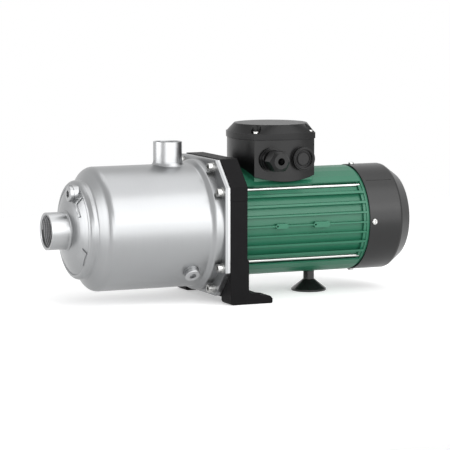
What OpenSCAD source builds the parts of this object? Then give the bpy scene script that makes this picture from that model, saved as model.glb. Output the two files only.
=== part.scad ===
// Horizontal multistage centrifugal pump, close coupled to a finned motor.
// The shaft runs along X: suction at -X, discharge upwards, motor at +X.
// The origin is midway between the two foot bolts, on the base plane.
// Every module works from the shaft axis and from the back face of the casing
// flange, and on_shaft() or at_flange() carries the piece to its place.

/* [Layout] */
// Gap between the underside of the bracket and the base plane
base_gap = 7; // [5:0.5:22]
// Distance from the flange back face to the foot bolt line
bolt_x = 45; // [44:1:48]
// Radius of a foot bolt hole
bolt_hole_r = 4.5; // [3.5:0.5:5]

/* [Barrel] */
// Step between the barrel and its swelled mouth
mouth_step = 4.5; // [3.5:0.5:5]
// Sheet thickness of the barrel
sheet_t = 2; // [1.5:0.25:2]
// Distance from the flange back face to the end of the straight barrel
barrel_len = 142; // [140:1:146]
// Width of the shoulder around the end face
shoulder_w = 15.5; // [15:0.5:16.5]
// Spherical radius of the end face
dome_r = 118; // [112:2:126]
// Corner radius at the rim of the end face
rim_round = 5.5; // [5:0.5:6]
// Radius of the rounded shoulder
shoulder_round = 11; // [10:0.5:12]
// Slope of the shoulder cone
shoulder_angle = 55; // [52:1:58]
// Gap between the swelled mouth and the edge of the flange plates
mouth_room = 2.5; // [2:0.5:3]
// Length of the swelled mouth
mouth_len = 15; // [13:1:17]

/* [Flange] */
// Width of the octagonal flange plates
plate_w = 164; // [162:1:165]
// Corner cut of the octagonal flange plates
plate_cut = 31; // [29:1:32]
// Thickness of each flange plate
plate_t = 3.2; // [3:0.2:4]
// Distance of a flange screw from the swelled mouth
screw_room = 6.9; // [6.5:0.1:7.3]
// Angle of a flange screw on either side of the plate corner
screw_spread = 13.2; // [12.5:0.1:14]
// Thread radius of a flange screw
screw_r = 3; // [2.5:0.25:3]
// Head radius of a flange screw
screw_head_r = 5; // [4.5:0.1:5]

/* [Ports] */
// Outer radius of the suction stub
suction_r = 22.6; // [22.2:0.2:23.4]
// Root radius of the female suction thread, G 1 1/4
suction_bore_r = 19.475; // [19:0.025:19.6]
// Length of the suction stub in front of the end face
suction_stand = 21.5; // [18:0.5:30]
// Length of the suction thread
suction_thread = 19; // [17:1:20]
// Outer radius of the discharge stub
discharge_r = 17.5; // [17.4:0.1:18.4]
// Root radius of the female discharge thread, G 1
discharge_bore_r = 15.145; // [14.8:0.005:15.2]
// Distance from the flange back face to the discharge axis
discharge_x = 47; // [44:1:52]
// Length of the discharge stub above the barrel
discharge_stand = 27.3; // [24:0.1:37]
// Length of the discharge thread
discharge_thread = 17; // [15:1:18]

/* [Plugs] */
// Thread radius of the priming and drain plugs
plug_r = 6.5; // [6:0.1:6.6]
// Head radius of the plugs
plug_head_r = 9.4; // [9.2:0.1:9.6]
// Head height of the plugs
plug_head_h = 5; // [4.6:0.2:6]
// Width across flats of the plug sockets
plug_key = 8; // [7:0.5:9]
// Thread length of the plugs
plug_thread = 8; // [7:0.5:9]
// Sideways offset of the priming plug from the shaft axis
priming_y = 14; // [10:1:16]
// Distance from the priming plug to the rim of the end face
priming_inset = 14.5; // [13.5:0.5:15.5]
// Distance from the flange back face to the drain plug
drain_x = 40; // [36:1:46]
// Angle of the drain plug below the horizontal
drain_angle = 42; // [38:1:50]

/* [Stages] */
// Number of pump stages
stages = 4; // [4:1:4]
// Distance that the stages reach past the straight barrel
nose_room = 4; // [2:0.5:6]
// Gap between the barrel sheet and the stage casings
stage_room = 9; // [7:0.5:11]
// Sheet thickness of the stage casings and impellers
stage_t = 1.4; // [1.2:0.1:1.6]
// Distance from the flange back face to the rear of the stage stack
stack_rear = 30; // [29:0.5:31]
// Width of the diffuser around the impellers
diffuser_w = 18; // [16:1:21]
// Outlet width of the impellers
impeller_w = 6; // [5:0.5:7]
// Inner radius of the impeller eye
eye_r = 16.5; // [15.5:0.5:17]
// Number of impeller blades
blades = 6; // [5:1:7]
// Number of diffuser vanes
vanes = 8; // [7:1:9]

/* [Shaft] */
// Radius of the shaft in the pump
pump_shaft_r = 7; // [6.5:0.25:7.25]
// Radius of the shaft in the bearings
bearing_bore_r = 8.5; // [8:0.25:8.75]
// Radius of the shaft in the rotor
rotor_shaft_r = 12.5; // [11.5:0.5:13]

/* [Bearings] */
// Outer radius of the ball bearings
bearing_r = 20; // [19.5:0.25:20.5]
// Width of the ball bearings
bearing_w = 12; // [11:0.5:12]
// Radius of a bearing ball
ball_r = 3.37; // [3.2:0.01:3.5]
// Number of balls in a bearing
balls = 8; // [7:1:8]
// Distance from the flange back face to the front bearing
front_bearing_x = 9.5; // [9:0.25:10]
// Distance from the flange back face to the rear bearing
rear_bearing_x = 186; // [185:0.5:186.5]

/* [Bracket] */
// Distance that the bracket stands out past the flange plates
bracket_lip = 1; // [0.5:0.25:2]
// Depth of the bracket along the shaft
bracket_d = 22; // [22:0.5:24]
// Wall thickness of the bracket casting
bracket_wall = 7; // [6:0.5:8]
// Width of one foot across the shaft
foot_w = 28; // [26:1:30]
// Distance from the flange back face to the tip of the feet
foot_reach = 55; // [54.5:0.5:58]
// Thickness of a foot at its tip
foot_tip_t = 9; // [8:0.5:10]
// Thickness of a foot at the leg
foot_root_t = 13.5; // [12.5:0.5:15]

/* [Motor] */
// Outer radius over the cooling fins
motor_r = 65.2; // [65:0.1:65.4]
// Radius between the cooling fins
fin_root_r = 59.5; // [58.2:0.1:60]
// Inner radius of the motor housing
stator_r = 55; // [54:0.25:55.5]
// Distance from the flange back face to the rear of the housing
motor_rear = 192; // [191:0.5:193]
// Spacing of the cooling fins
fin_pitch = 12.1; // [11.8:0.1:12.3]
// Thickness of a cooling fin at its tip
fin_t = 1.6; // [1.4:0.1:2.4]
// Length of the stator and rotor cores
core_len = 96; // [90:2:100]
// Inner radius of the stator core
stator_bore_r = 31; // [30:0.25:32]
// Number of stator slots
slots = 24; // [18:6:24]
// Distance of a tie rod from the axis
rod_circle_r = 60; // [59.6:0.1:60.1]
// Radius of a tie rod
rod_r = 2; // [1.75:0.05:2.05]
// Angle of the tie rods above the horizontal
rod_angle = 46.5; // [45:0.5:48]

/* [Fan cover] */
// Outer radius of the fan cover
cover_r = 65.7; // [65.6:0.1:66.4]
// Wall thickness of the fan cover
cover_t = 2; // [1.8:0.05:2.05]
// Distance from the flange back face to the front edge of the fan cover
cover_front = 195.5; // [195:0.5:196.5]
// Distance from the flange back face to the rear of the fan cover
cover_rear = 257; // [255:1:262]
// Radius of the rear rim of the fan cover
cover_rim_r = 54.5; // [52:0.5:57]
// Length of the cone at the rear of the fan cover
cover_cone = 18; // [17:0.5:20]
// Distance from the flange back face to the fan cover screws
cover_screw_x = 201.2; // [200.5:0.1:202]
// Outer radius of the cooling fan
fan_r = 53; // [48:1:54]

/* [Terminal box] */
// Distance from the flange back face to the middle of the terminal box
box_x = 90; // [88:1:94]
// Half length of the box at its corners
box_half_x = 40.3; // [39:0.1:42]
// Half width of the box at its corners
box_half_y = 41; // [40:0.5:42]
// Bulge of the box ends
bulge_x = 9.5; // [8:0.5:11]
// Bulge of the box sides
bulge_y = 8; // [7:0.5:9]
// Wall thickness of the box
box_wall = 2.5; // [2:0.25:3]
// Radius of the saddle under the box
saddle_r = 71.5; // [70.5:0.25:72.5]
// Height of the box top above the shaft axis
box_top = 102.9; // [101:0.1:108]
// Height of the straight rim of the box lid
lid_rim = 7; // [6:0.5:8]
// Rise of the lid above its rim
lid_rise = 10.8; // [9:0.2:14]
// Radius of the flat top of the lid
lid_top_r = 45; // [42:1:47]
// Distance of the cable gland from the middle of the box
gland_dx = 22; // [21:0.5:23]
// Distance of the blind plug from the middle of the box
blind_dx = 20.5; // [20:0.5:21.5]
// Height of the cable entries above the shaft axis
entry_z = 79.7; // [79:0.1:82]

/* [Cable gland] */
// Thread radius of the cable gland
gland_r = 10; // [9.5:0.25:10.25]
// Width across flats of the gland nut
gland_key = 24; // [23.5:0.25:25]
// Radius of the cable mouth
cable_r = 4.4; // [3.5:0.1:5]

/* [Support foot] */
// Distance from the flange back face to the support foot
support_x = 143; // [138:1:150]
// Radius of the support pad
support_r = 21.9; // [20:0.1:24]
// Radius of the support stem
stem_r = 6.85; // [6.2:0.05:7.4]
// Height of the support pad
pad_h = 14; // [12.5:0.5:15]

/* [Clearances] */
// Gap between pieces that are fitted together and stay still
fit_gap = 0.1; // [0.05:0.01:0.12]
// Gap between pieces that turn or slide on each other
run_gap = 0.15; // [0.1:0.01:0.2]

/* [Hidden] */

// Overshoot of a cutting shape past the face it cuts
cut = 1;
// Segments of a rounded profile
arc_steps = 6;
$fn = 48;

// Flange, bracket and base, all from the width of the flange plates
bracket_w = plate_w + 2 * bracket_lip;
shaft_h = bracket_w / 2 + base_gap;
bolt_spacing = bracket_w - foot_w;
mouth_r = plate_w / 2 - mouth_room;
screw_circle_r = mouth_r + screw_room;

// Barrel profile, from the shaft axis outwards
barrel_r = mouth_r - mouth_step;
end_face_r = barrel_r - shoulder_w;
dome_rise = 40;
dome_tip = barrel_len + dome_rise;
suction_reach = dome_tip + suction_stand;
discharge_top = barrel_r + discharge_stand;
priming_z = end_face_r - priming_inset;
dome_centre = dome_r - dome_tip;
rim_centre_r = end_face_r - rim_round;
rim_centre_x = dome_centre - sqrt(pow(dome_r - rim_round, 2) - pow(rim_centre_r, 2));
rim_start_angle = atan2(rim_centre_r, dome_centre - rim_centre_x);
valley_round = 2.5;
shoulder_x = -barrel_len - shoulder_round * sin(shoulder_angle);
shoulder_rim_r = barrel_r - shoulder_round * (1 - cos(shoulder_angle));
valley_r = end_face_r + valley_round;
valley_x = shoulder_x - (valley_round + (shoulder_rim_r - valley_r) * cos(shoulder_angle))
    / sin(shoulder_angle);
mouth_blend = 7;
mouth_inner_r = mouth_r - sheet_t;

// Stack of stages
stage_pitch = (barrel_len + nose_room - stack_rear) / stages;
stage_r = barrel_r - sheet_t - stage_room;
impeller_r = stage_r - diffuser_w;
stack_front = -stack_rear - stages * stage_pitch;
impeller_gap = 3;
neck_len = 5;
hub_r = 10.5;
hub_len = 2 * stage_t + impeller_w + 4;
hub_x = impeller_gap + stage_t;
neck_t = 1.4;
neck_ring_t = 1.8;
wall_hole_r = eye_r + neck_t + run_gap + neck_ring_t + fit_gap;
return_vane_r = wall_hole_r + 0.5;
diffuser_x = impeller_gap + 2 * stage_t + impeller_w + 3;
diffuser_r = stage_r - 7;
last_hub_end = stack_front + (stages - 1) * stage_pitch + hub_x + hub_len;

// Mechanical seal
seat_face_x = -10.5;
seat_r = 14.8;
seal_ring_len = 4;
seal_room = seat_face_x - seal_ring_len - last_hub_end;
spring_len = 11;

// Motor and cover
housing_front = bracket_d;
core_x = (bracket_d + motor_rear - core_len) / 2;
winding_overhang = 20;
winding_gap = 0.4;
rotor_r = stator_bore_r - 0.4;
collar_r = motor_r - 2.7;
shield_rim = 14;
shield_rim_r = cover_r - cover_t - run_gap;
shield_hub_r = bearing_r + 6;
rod_front = bracket_d - 9;
rod_nut_h = 3.2;
rod_rear = motor_rear + shield_rim + rod_nut_h + 1.5;
rod_groove_r = rod_r + 0.35;
rod_angles = [rod_angle, 180 - rod_angle, 180 + rod_angle, -rod_angle];
fan_x = motor_rear + shield_rim + 8;
fan_hub_len = 18;
fan_end_x = fan_x + fan_hub_len;
shaft_end_x = fan_end_x + 6;
fan_blades = 8;

// Terminal box
box_rx = (pow(box_half_y, 2) + pow(bulge_x, 2)) / (2 * bulge_x);
box_ry = (pow(box_half_x, 2) + pow(bulge_y, 2)) / (2 * bulge_y);
pedestal_half_y = rod_circle_r * cos(rod_angle) - rod_r - 1.3;
pedestal_top = saddle_r - fit_gap;
gasket_t = 0.6;
lid_base = box_top + gasket_t;
lid_screw_x = box_half_x - 4.3;
lid_screw_y = box_half_y - 4.5;
entry_face_y = box_half_y + bulge_y + 1.6;
floor_z = saddle_r + 3;
saddle_len = 4 * box_half_x;
fixing_dx = 22;
fixing_head_r = 3.6;
fixing_depth = 8;
block_l = 42;
block_d = 22;
block_y = fixing_head_r + 0.9;
stud_inset = 4.5;
lid_screw_depth = 14;
gland_collar_r = 13.3;
gland_bore_r = 6.6;
gland_tail = 9;

// Support foot
stem_top = shaft_h - motor_r - 0.3;
stud_r = 4;
pin_r = 5;

// Turns a piece drawn in the Y-Z plane so that it runs along the shaft
module on_shaft(x = 0) {
    translate([x - bolt_x, 0, shaft_h]) rotate([90, 0, 90]) children();
}

// Carries an upright piece to the flange plane at shaft height
module at_flange(p = [0, 0, 0]) {
    translate([p[0] - bolt_x, p[1], shaft_h + p[2]]) children();
}

// Ring about the shaft between two radii and two stations
module ring(inner_r, outer_r, x1, x2) {
    on_shaft(x1) difference() {
        cylinder(r = outer_r, h = x2 - x1);
        translate([0, 0, -cut]) cylinder(r = inner_r, h = x2 - x1 + 2 * cut);
    }
}

// Outline with four cut corners
module octagon(w, corner) {
    a = w / 2;
    b = w / 2 - corner;
    polygon([[-b, -a], [b, -a], [a, -b], [a, b], [b, a], [-b, a], [-a, b], [-a, -b]]);
}

// Places a child at each flange screw
module each_flange_screw() {
    for (corner = [45:90:315])
        for (side = [-1, 1])
            rotate([0, 0, corner + side * screw_spread])
                translate([screw_circle_r, 0, 0]) children();
}

// Outline of one curved vane between two radii
function backwards(list) = [for (i = [len(list) - 1:-1:0]) list[i]];
module vane(r1, r2, sweep, t, n = 6) {
    front = [for (i = [0:n]) let (s = i / n, r = r1 + (r2 - r1) * s, a = sweep * s)
        [r * cos(a), r * sin(a)]];
    back = [for (i = [0:n]) let (s = i / n, r = r1 + (r2 - r1) * s, a = sweep * s + t / r * 57.3)
        [r * cos(a), r * sin(a)]];
    polygon(concat(front, backwards(back)));
}

// Profile of the barrel sheet at depth t below its outer face, as [radius, station]
function barrel_line(t) = concat(
    [for (i = [0:arc_steps])
        let (r = suction_r - cut + (rim_centre_r - 4 - suction_r) * i / arc_steps)
        [r, dome_centre - sqrt(pow(dome_r - t, 2) - pow(r, 2))]],
    [for (i = [0:arc_steps])
        let (a = rim_start_angle + (90 - rim_start_angle) * i / arc_steps)
        [rim_centre_r + (rim_round - t) * sin(a), rim_centre_x - (rim_round - t) * cos(a)]],
    [for (i = [0:arc_steps])
        let (a = (90 - shoulder_angle) * 0 + shoulder_angle * i / arc_steps)
        [valley_r - (valley_round + t) * cos(a), valley_x + (valley_round + t) * sin(a)]],
    [for (i = [0:arc_steps])
        let (a = shoulder_angle * (1 - i / arc_steps))
        [barrel_r - shoulder_round + (shoulder_round - t) * cos(a),
            -barrel_len - (shoulder_round - t) * sin(a)]],
    [for (i = [0:arc_steps])
        let (s = i / arc_steps)
        [barrel_r - t + (mouth_r - barrel_r) * (1 - cos(180 * s)) / 2,
            -mouth_len - mouth_blend * (1 - s)]],
    [[mouth_r - t, -plate_t]]);

// Place of the priming plug seat on the end face, and of the drain plug seat
priming_r = sqrt(pow(priming_y, 2) + pow(priming_z, 2));
priming_x = dome_centre - sqrt(pow(dome_r, 2) - pow(priming_r - plug_head_r, 2)) - 0.2;
boss_depth = 7;
boss_r = plug_head_r + 0.6;
drain_seat_r = barrel_r + 2.2;
module at_priming() {
    at_flange([priming_x, -priming_y, priming_z]) rotate([0, -90, 0]) children();
}
module at_drain() {
    at_flange([-drain_x, 0, 0]) rotate([90 + drain_angle, 0, 0])
        translate([0, 0, drain_seat_r]) children();
}

// Deep drawn barrel with a domed end, a swelled mouth and an octagonal flange
module pump_barrel() {
    color([0.76, 0.77, 0.78]) difference() {
        union() {
            on_shaft() rotate_extrude()
                polygon(concat(barrel_line(0), backwards(barrel_line(sheet_t))));
            on_shaft(-2 * plate_t) linear_extrude(plate_t) difference() {
                octagon(plate_w, plate_cut);
                circle(mouth_r - sheet_t / 2);
            }
        }
        on_shaft(-2 * plate_t - cut) each_flange_screw()
            cylinder(r = screw_r + 0.3, h = plate_t + 2 * cut);
        on_shaft(-suction_reach) cylinder(r = suction_r + fit_gap, h = suction_reach / 2);
        at_flange([-discharge_x, 0, 0]) cylinder(r = discharge_r + fit_gap, h = discharge_top);
        at_priming() translate([0, 0, -boss_depth - cut])
            cylinder(r = boss_r + fit_gap, h = boss_depth + 3 * cut);
        at_drain() translate([0, 0, -boss_depth - cut])
            cylinder(r = boss_r + fit_gap, h = boss_depth + 3 * cut);
    }
}

// Suction stub with a female pipe thread
suction_root = dome_tip - 5;
module suction_nozzle() {
    color([0.78, 0.79, 0.8]) on_shaft(-suction_reach) difference() {
        cylinder(r = suction_r, h = suction_reach - suction_root + 3);
        translate([0, 0, -cut]) cylinder(r = suction_bore_r, h = suction_reach);
        translate([0, 0, suction_thread])
            cylinder(r = suction_bore_r + 0.9, h = suction_reach);
        translate([0, 0, -0.01])
            cylinder(r1 = suction_bore_r + 1, r2 = suction_bore_r - 0.2, h = 1.2);
    }
}

// Discharge stub with a female pipe thread, cut to the barrel at its foot
module discharge_nozzle() {
    color([0.78, 0.79, 0.8]) difference() {
        at_flange([-discharge_x, 0, barrel_r - 8])
            cylinder(r = discharge_r, h = discharge_top - barrel_r + 8);
        at_flange([-discharge_x, 0, 0]) cylinder(r = discharge_bore_r, h = discharge_top + cut);
        at_flange([-discharge_x, 0, 0])
            cylinder(r = discharge_bore_r + 0.9, h = discharge_top - discharge_thread);
        at_flange([-discharge_x, 0, discharge_top - 1.2])
            cylinder(r1 = discharge_bore_r - 0.2, r2 = discharge_bore_r + 1, h = 1.21);
        on_shaft(-discharge_x - 2 * discharge_r)
            cylinder(r = barrel_r - sheet_t, h = 4 * discharge_r);
    }
}

// Welded threaded boss of a plug, its seat at zero height
module boss() {
    difference() {
        translate([0, 0, -boss_depth]) cylinder(r = boss_r, h = boss_depth);
        translate([0, 0, -boss_depth - cut])
            cylinder(r = plug_r + run_gap, h = boss_depth + 2 * cut);
    }
}
module plug_bosses() {
    color([0.74, 0.75, 0.76]) {
        at_priming() boss();
        at_drain() boss();
    }
}

// Threaded plug with a hexagon socket and a sealing groove under its head
groove_h = 1.9;
o_ring_r = 0.85;
module plug() {
    difference() {
        union() {
            translate([0, 0, -plug_thread]) cylinder(r = plug_r, h = plug_thread + 1);
            translate([0, 0, 0.2]) cylinder(r = plug_head_r, h = plug_head_h - 1);
            translate([0, 0, plug_head_h - 0.8])
                cylinder(r1 = plug_head_r, r2 = plug_head_r - 0.8, h = 0.8);
        }
        translate([0, 0, -cut]) difference() {
            cylinder(r = plug_r + 2.2, h = groove_h + cut);
            translate([0, 0, -cut]) cylinder(r = plug_r, h = groove_h + 3 * cut);
        }
        translate([0, 0, plug_head_h - 4]) cylinder(d = plug_key / cos(30), h = 5, $fn = 6);
    }
}
module plug_o_ring() {
    translate([0, 0, groove_h / 2]) rotate_extrude()
        translate([plug_r + 1.15, 0]) circle(o_ring_r, $fn = 16);
}
module priming_plug() {
    color([0.7, 0.71, 0.72]) at_priming() plug();
}
module priming_o_ring() {
    color([0.12, 0.12, 0.12]) at_priming() plug_o_ring();
}
module drain_plug() {
    color([0.7, 0.71, 0.72]) at_drain() plug();
}
module drain_o_ring() {
    color([0.12, 0.12, 0.12]) at_drain() plug_o_ring();
}

// Octagonal cover plate that closes the barrel and carries the seal seat
spigot_r = mouth_inner_r - 4.1;
spigot_len = 5;
cup_wall = 2;
module casing_cover() {
    color([0.7, 0.71, 0.72]) difference() {
        union() {
            on_shaft(-plate_t) linear_extrude(plate_t) octagon(plate_w, plate_cut);
            on_shaft(-plate_t - spigot_len) difference() {
                cylinder(r = spigot_r, h = spigot_len + cut);
                translate([0, 0, -cut]) cylinder(r = spigot_r - 2, h = spigot_len + cut);
            }
            on_shaft(seat_face_x + 1.5)
                cylinder(r = seat_r + fit_gap + cup_wall, h = -seat_face_x - 1.5);
        }
        on_shaft(-plate_t - cut) each_flange_screw()
            cylinder(r = screw_r + 0.3, h = plate_t + 2 * cut);
        on_shaft(seat_face_x) cylinder(r = seat_r + fit_gap, h = -seat_face_x - plate_t + 0.2);
        on_shaft(seat_face_x) cylinder(r = pump_shaft_r + 2, h = -seat_face_x + cut);
    }
}

// Round cord seal between the barrel mouth and the cover spigot
module barrel_o_ring() {
    color([0.1, 0.1, 0.1]) on_shaft(-plate_t - 2.2) rotate_extrude()
        translate([(spigot_r + mouth_inner_r) / 2, 0]) circle(1.9, $fn = 20);
}

// Ring that seats the first stage in the step of the barrel end
inlet_r = end_face_r - sheet_t - fit_gap;
module inlet_ring() {
    color([0.66, 0.67, 0.68]) on_shaft() rotate_extrude() polygon([
        [inlet_r - 2.5, rim_centre_x + 2], [inlet_r, rim_centre_x + 2], [inlet_r, valley_x + 2],
        [stage_r, valley_x + 9], [stage_r, stack_front], [stage_r - 2.5, stack_front],
        [stage_r - 2.5, valley_x + 10], [inlet_r - 2.5, valley_x + 3]]);
}

// Stage casing: a cup with diffuser vanes, a diffuser plate and return vanes
module stage_casing(i) {
    len = stage_pitch;
    color([0.68, 0.69, 0.71]) on_shaft(stack_front + i * stage_pitch) union() {
        difference() {
            cylinder(r = stage_r, h = len);
            translate([0, 0, stage_t]) cylinder(r = stage_r - stage_t, h = len);
            translate([0, 0, -cut]) cylinder(r = wall_hole_r, h = len);
        }
        for (a = [0:360 / vanes:359]) rotate([0, 0, a]) {
            translate([0, 0, stage_t / 2]) linear_extrude(diffuser_x)
                vane(impeller_r + 3, stage_r - stage_t / 2, 28, 1.8);
            translate([0, 0, diffuser_x + stage_t / 2])
                linear_extrude(len - diffuser_x - stage_t / 2)
                vane(return_vane_r, diffuser_r - 1, -50, 1.8);
        }
        translate([0, 0, diffuser_x]) difference() {
            cylinder(r = diffuser_r, h = stage_t);
            translate([0, 0, -cut]) cylinder(r = hub_r + 0.5, h = stage_t + 2 * cut);
        }
    }
}
module stage_casing_1() { stage_casing(0); }
module stage_casing_2() { stage_casing(1); }
module stage_casing_3() { stage_casing(2); }
module stage_casing_4() { stage_casing(3); }

// Wear rings in the stage walls around the impeller necks
module neck_rings() {
    color([0.9, 0.9, 0.86]) for (i = [0:stages - 1])
        ring(eye_r + neck_t + run_gap, wall_hole_r - fit_gap, stack_front + i * stage_pitch - 1.6,
            stack_front + i * stage_pitch + stage_t);
}

// Windowed ring between the last stage and the cover, which lets the water out
outlet_windows = 8;
module outlet_ring() {
    ring_len = stack_rear - plate_t;
    color([0.66, 0.67, 0.68]) on_shaft(-stack_rear) difference() {
        cylinder(r = stage_r, h = ring_len);
        translate([0, 0, -cut]) cylinder(r = stage_r - 2.5, h = ring_len + 2 * cut);
        for (a = [0:360 / outlet_windows:359]) rotate([0, 0, a])
            translate([stage_r - 6, -stage_r * 0.28, 4]) cube([12, stage_r * 0.56, ring_len - 9]);
    }
}

// Stationary seal ring in the cup of the cover
module seal_seat() {
    color([0.85, 0.84, 0.8]) ring(pump_shaft_r + 0.8, seat_r, seat_face_x, -plate_t);
}

// Impeller with two shrouds, curved blades, an inlet neck and a hub
module impeller(i) {
    x = stack_front + i * stage_pitch + impeller_gap;
    color([0.72, 0.73, 0.75]) on_shaft(x) difference() {
        union() {
            cylinder(r = impeller_r, h = stage_t);
            translate([0, 0, -neck_len]) cylinder(r = eye_r + neck_t, h = neck_len + stage_t);
            translate([0, 0, stage_t + impeller_w]) cylinder(r = impeller_r, h = stage_t);
            for (a = [0:360 / blades:359]) rotate([0, 0, a + i * 17])
                translate([0, 0, stage_t / 2]) linear_extrude(impeller_w + stage_t)
                vane(eye_r + 0.6, impeller_r - 0.6, -62, 1.6);
        }
        translate([0, 0, -neck_len - cut]) cylinder(r = eye_r, h = neck_len + cut + stage_t + 0.5);
        translate([0, 0, -neck_len - cut]) cylinder(r = pump_shaft_r + 1, h = 40);
    }
    color([0.72, 0.73, 0.75]) ring(pump_shaft_r + fit_gap, hub_r, x + stage_t, x + stage_t + hub_len);
}
module impeller_1() { impeller(0); }
module impeller_2() { impeller(1); }
module impeller_3() { impeller(2); }
module impeller_4() { impeller(3); }

// Sleeves that space the impellers along the shaft
module spacer_sleeves() {
    color([0.7, 0.71, 0.73]) for (i = [0:stages - 2])
        ring(pump_shaft_r + fit_gap, hub_r - 0.5, stack_front + i * stage_pitch + hub_x + hub_len,
            stack_front + (i + 1) * stage_pitch + hub_x);
    color([0.7, 0.71, 0.73]) ring(pump_shaft_r + fit_gap, hub_r - 0.5, last_hub_end,
        last_hub_end + seal_room - spring_len - 1);
    color([0.7, 0.71, 0.73]) ring(pump_shaft_r + fit_gap, hub_r + 4,
        last_hub_end + seal_room - spring_len - 1, last_hub_end + seal_room - spring_len);
}

// Nut with a collar that clamps the impellers on the nose of the shaft
nose_r = 5;
nut_len = 9;
module impeller_nut() {
    x = stack_front + hub_x;
    color([0.72, 0.73, 0.75]) on_shaft(x - nut_len) difference() {
        union() {
            cylinder(d = 17 / cos(30), h = nut_len - 2, $fn = 6);
            translate([0, 0, nut_len - 2]) cylinder(r = hub_r, h = 2);
        }
        translate([0, 0, -cut]) cylinder(r = nose_r + fit_gap, h = nut_len + 2 * cut);
    }
}

// Stepped shaft from the impeller nut to the fan
module shaft() {
    steps = [[nose_r, stack_front + hub_x - nut_len - 3, stack_front + hub_x],
        [pump_shaft_r, stack_front + hub_x, front_bearing_x - 8],
        [bearing_bore_r, front_bearing_x - 8, front_bearing_x + bearing_w + 0.5],
        [bearing_bore_r + 2, front_bearing_x + bearing_w + 0.5, core_x - 8],
        [rotor_shaft_r, core_x - 8, core_x + core_len + 8],
        [bearing_bore_r + 2, core_x + core_len + 8, rear_bearing_x - 0.5],
        [bearing_bore_r, rear_bearing_x - 0.5, rear_bearing_x + bearing_w + 1],
        [pump_shaft_r, rear_bearing_x + bearing_w + 1, fan_end_x + 0.3],
        [pump_shaft_r - 0.7, fan_end_x + 0.3, fan_end_x + 1.7],
        [pump_shaft_r, fan_end_x + 1.7, shaft_end_x]];
    color([0.72, 0.73, 0.74]) on_shaft() rotate_extrude() polygon(concat(
        [[0, steps[0][1]]],
        [for (s = steps) each [[s[0], s[1]], [s[0], s[2]]]],
        [[0, shaft_end_x]]));
}

// Rotating carbon ring of the seal
module seal_ring() {
    color([0.2, 0.2, 0.21])
        ring(pump_shaft_r + fit_gap, seat_r - 2, seat_face_x - seal_ring_len, seat_face_x - 0.05);
}

// Coil spring of the seal
spring_r = 12.2;
wire_r = 0.9;
spring_turns = 4;
spring_sides = 6;
spring_steps = 14;
module seal_spring() {
    rings = spring_turns * spring_steps;
    x0 = seat_face_x - seal_ring_len - spring_len + wire_r + 0.1;
    rise = spring_len - 2 * wire_r - 0.2;
    points = [for (i = [0:rings]) for (k = [0:spring_sides - 1])
        let (a = 360 * i / spring_steps, b = 360 * k / spring_sides,
            r = spring_r + wire_r * cos(b))
        [r * cos(a), r * sin(a), rise * i / rings + wire_r * sin(b)]];
    sides = [for (i = [0:rings - 1]) for (k = [0:spring_sides - 1])
        let (n = (k + 1) % spring_sides)
        [i * spring_sides + k, i * spring_sides + n, (i + 1) * spring_sides + n,
            (i + 1) * spring_sides + k]];
    caps = [[for (k = [spring_sides - 1:-1:0]) k],
        [for (k = [0:spring_sides - 1]) rings * spring_sides + k]];
    color([0.75, 0.76, 0.77]) on_shaft(x0) polyhedron(points, concat(sides, caps));
}

// Rubber bellows under the spring
module seal_bellows() {
    x1 = seat_face_x - seal_ring_len - spring_len;
    x2 = seat_face_x - seal_ring_len - 0.05;
    color([0.12, 0.12, 0.12]) on_shaft() rotate_extrude() polygon([
        [pump_shaft_r + fit_gap, x1 + 0.05], [9.6, x1 + 0.05], [9.6, x1 + 3], [8.6, x1 + 4.5],
        [10, x1 + 6], [8.6, x1 + 7.5], [10, x1 + 9], [10, x2], [pump_shaft_r + fit_gap, x2]]);
}

// Rubber disc that throws leakage off the shaft in front of the bearing
module slinger() {
    hub = bearing_bore_r + 4;
    lip = bearing_bore_r + 8.5;
    start = plate_t - 3;
    color([0.12, 0.12, 0.12]) on_shaft(start) rotate_extrude() polygon([
        [bearing_bore_r + fit_gap, 3], [hub + 0.5, 3], [lip, 4.8], [lip, 5.8], [hub, 5],
        [hub, 6.4], [bearing_bore_r + fit_gap, 6.4]]);
}

// Side view of a foot, as [station, height above the axis]
leg_d = bracket_d + 2;
toe_round = 3;
function foot_side() = [[0, -shaft_h + toe_round], [toe_round * 0.3, -shaft_h + toe_round * 0.3],
    [toe_round, -shaft_h], [foot_reach - 1.2, -shaft_h], [foot_reach, -shaft_h + 1.2],
    [foot_reach, -shaft_h + foot_tip_t - 3], [foot_reach - 3, -shaft_h + foot_tip_t],
    [bolt_x - 5.5, -shaft_h + foot_tip_t + 1.8], [bolt_x - 9, -shaft_h + foot_root_t - 0.3],
    [leg_d + 1.5, -shaft_h + foot_root_t], [leg_d, -shaft_h + foot_root_t + 1.5],
    [leg_d, -plate_w / 4 + 3], [bracket_d, -plate_w / 4 + 3 + 2], [0, -plate_w / 4 + 5]];

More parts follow.
